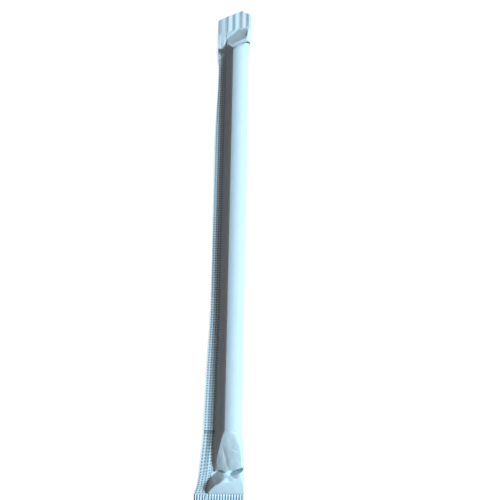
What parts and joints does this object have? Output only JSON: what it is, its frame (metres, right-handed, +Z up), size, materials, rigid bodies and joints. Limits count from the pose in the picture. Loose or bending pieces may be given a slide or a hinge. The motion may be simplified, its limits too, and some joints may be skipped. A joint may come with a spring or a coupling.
{
  "type": "wrapped drinking straw",
  "caption": "Straight drinking straw sealed in a slack white paper sleeve, with an embossed side seam, a fluted flat seal at one end and a gathered seal at the other.",
  "frame": {"origin": "middle of the bounding box, on the surface the straw lies on", "axes": "+Y along the straw towards its gathered end, +X towards the sleeve's folded side with the seam on -X, +Z up from the surface"},
  "size_m": [0.0236, 0.2628, 0.0088],
  "materials": {
    "sleeve_paper": "thin uncoated white paper with a cool tint, matt, embossed along the side seam and crimped at both ends"
  },
  "bodies": {
    "root": {"wrapped_straw": "sleeve_paper"}
  },
  "joints": []
}
